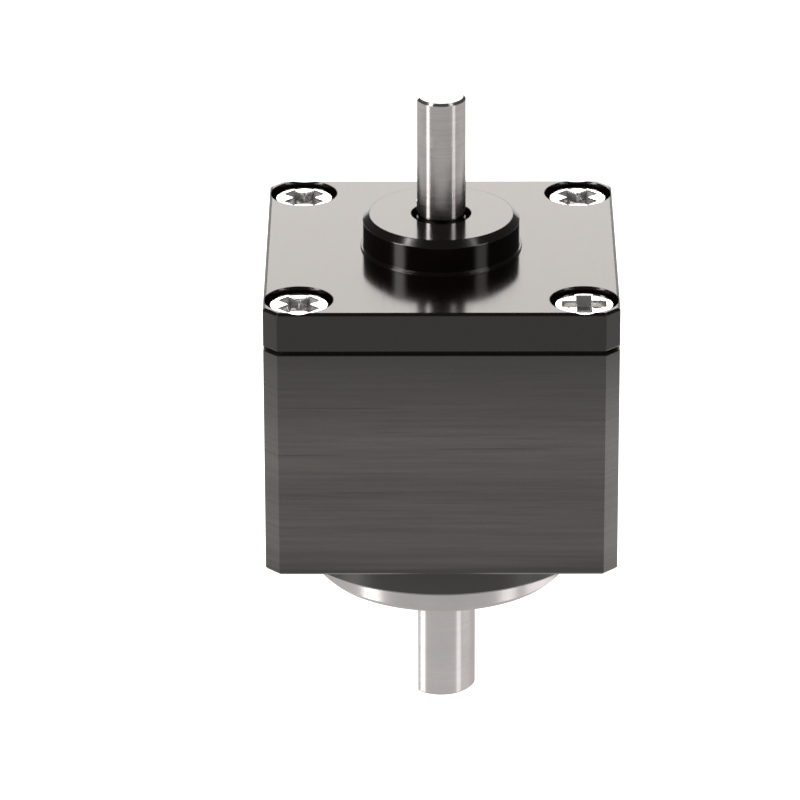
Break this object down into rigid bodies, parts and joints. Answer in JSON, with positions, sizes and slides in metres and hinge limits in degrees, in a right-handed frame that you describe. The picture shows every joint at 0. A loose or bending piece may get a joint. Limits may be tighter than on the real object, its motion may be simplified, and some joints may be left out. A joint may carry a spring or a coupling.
{
  "type": "harmonic reducer",
  "caption": "Square strain wave speed reducer with coaxial input and output shafts, a round output pilot and a bolted cover.",
  "frame": {"origin": "centre of the mounting face on the output side, on the shafts' common axis", "axes": "+Z along the shafts towards the input shaft; X and Y square to the housing's sides"},
  "size_m": [0.05, 0.05, 0.0924],
  "materials": {
    "housing_anodised": "dark anodised, finely brushed",
    "cover_anodised": "black anodised, polished",
    "gasket": "matt black",
    "screw_nickel": "bright nickel plate",
    "input_shaft_steel": "fine turned, satin",
    "output_shaft_steel": "fine turned, satin",
    "gear_steel": "ground steel",
    "spring_steel": "tempered steel",
    "bearing_steel": "polished bearing steel",
    "screw_black": "black oxide",
    "cage_brass": "machined brass",
    "cage_polymer": "glass filled polyamide",
    "seal_rubber": "matt black"
  },
  "bodies": {
    "root": {"housing": "housing_anodised", "cover_gasket": "gasket", "input_cover": "cover_anodised", "cover_screws": "screw_nickel", "circular_spline": "gear_steel", "circular_spline_pins": "bearing_steel", "input_bearing_outer_ring": "bearing_steel", "input_bearing_circlip": "spring_steel", "input_seal": "seal_rubber", "output_bearing_outer_lower": "bearing_steel", "output_bearing_outer_upper": "bearing_steel", "outer_race_nut": "gear_steel", "output_seal": "seal_rubber"},
    "input": {"input_shaft": "input_shaft_steel", "plug_key": "gear_steel", "wave_generator_plug": "gear_steel", "plug_circlip": "spring_steel", "flex_bearing_inner_ring": "bearing_steel", "flex_bearing_balls": "bearing_steel", "flex_bearing_cage": "cage_polymer", "flex_bearing_outer_ring": "bearing_steel", "input_bearing_inner_ring": "bearing_steel", "pilot_bearing_inner_ring": "bearing_steel"},
    "output": {"output_hub": "output_shaft_steel", "flexspline": "spring_steel", "flexspline_clamp_ring": "gear_steel", "flexspline_screws": "screw_black", "pilot_bearing_outer_ring": "bearing_steel", "output_bearing_inner_ring": "bearing_steel", "inner_race_nut": "gear_steel"},
    "input_ball_set": {"input_bearing_balls": "bearing_steel", "input_bearing_cage": "cage_brass"},
    "pilot_ball_set": {"pilot_bearing_balls": "bearing_steel", "pilot_bearing_cage": "cage_brass"},
    "roller_set": {"output_bearing_rollers": "bearing_steel", "output_bearing_spacers": "cage_polymer"}
  },
  "joints": [
    {"name": "input_spin", "type": "hinge", "parent": "root", "child": "input", "pos_m": [0, 0, 0.05], "axis": [0, 0, 1], "continuous": true, "deforming": ["flexspline"]},
    {"name": "output_spin", "type": "hinge", "parent": "root", "child": "output", "pos_m": [0, 0, 0], "axis": [0, 0, 1], "continuous": true},
    {"name": "input_ball_roll", "type": "hinge", "parent": "root", "child": "input_ball_set", "pos_m": [0, 0, 0.0385], "axis": [0, 0, 1], "continuous": true},
    {"name": "pilot_ball_roll", "type": "hinge", "parent": "root", "child": "pilot_ball_set", "pos_m": [0, 0, 0.011], "axis": [0, 0, 1], "continuous": true},
    {"name": "roller_roll", "type": "hinge", "parent": "root", "child": "roller_set", "pos_m": [0, 0, 0.0056], "axis": [0, 0, 1], "continuous": true}
  ],
  "couplings": [
    {"joint": "output_spin", "follows": "input_spin", "ratio": -0.033333},
    {"joint": "input_ball_roll", "follows": "input_spin", "ratio": 0.36539},
    {"joint": "pilot_ball_roll", "follows": "input_spin", "ratio": 0.38},
    {"joint": "roller_roll", "follows": "input_spin", "ratio": -0.015506}
  ]
}
